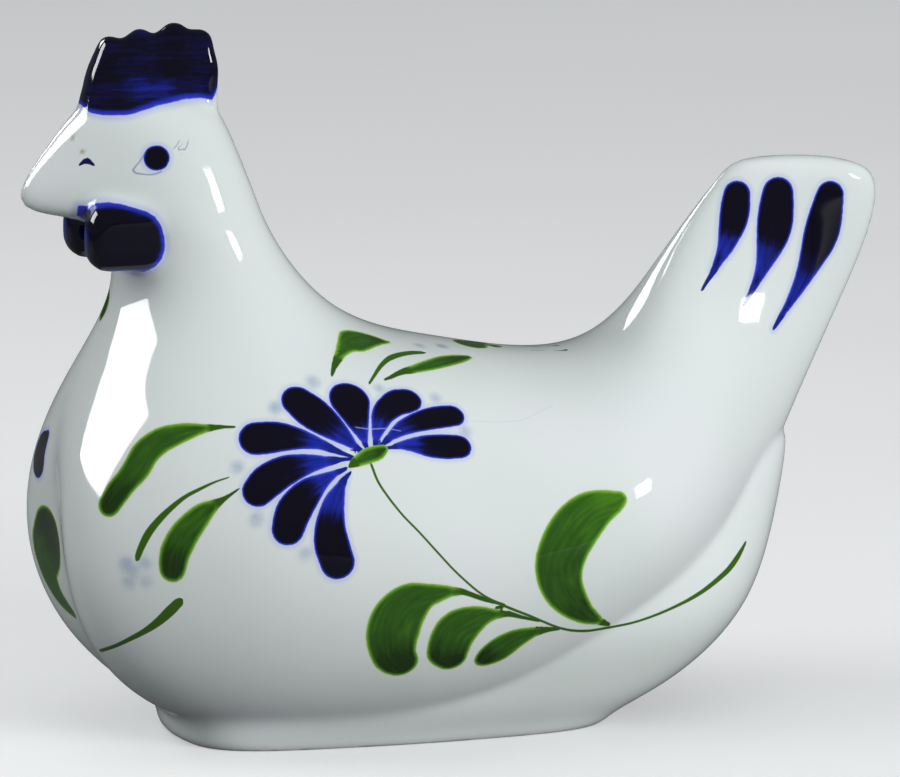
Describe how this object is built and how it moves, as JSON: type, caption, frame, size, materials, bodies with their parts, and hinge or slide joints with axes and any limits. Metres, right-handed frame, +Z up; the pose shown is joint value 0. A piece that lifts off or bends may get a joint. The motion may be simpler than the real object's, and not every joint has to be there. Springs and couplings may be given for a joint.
{
  "type": "chicken figurine",
  "caption": "Glazed porcelain figurine of a sitting hen with a scalloped comb, paired wattles, an upright fan tail and a flat foot, hand painted with a blue flower and green leaves.",
  "frame": {"origin": "middle of the bounding box on the plane that the foot stands on", "axes": "+Z up, the hen faces -X, +Y points to its right side, and the plane Y = 0 is its plane of symmetry"},
  "size_m": [0.1966, 0.0972, 0.158],
  "materials": {
    "glazed_porcelain": "clear gloss glaze over white porcelain"
  },
  "bodies": {
    "root": {"hen": "glazed_porcelain"}
  },
  "joints": []
}
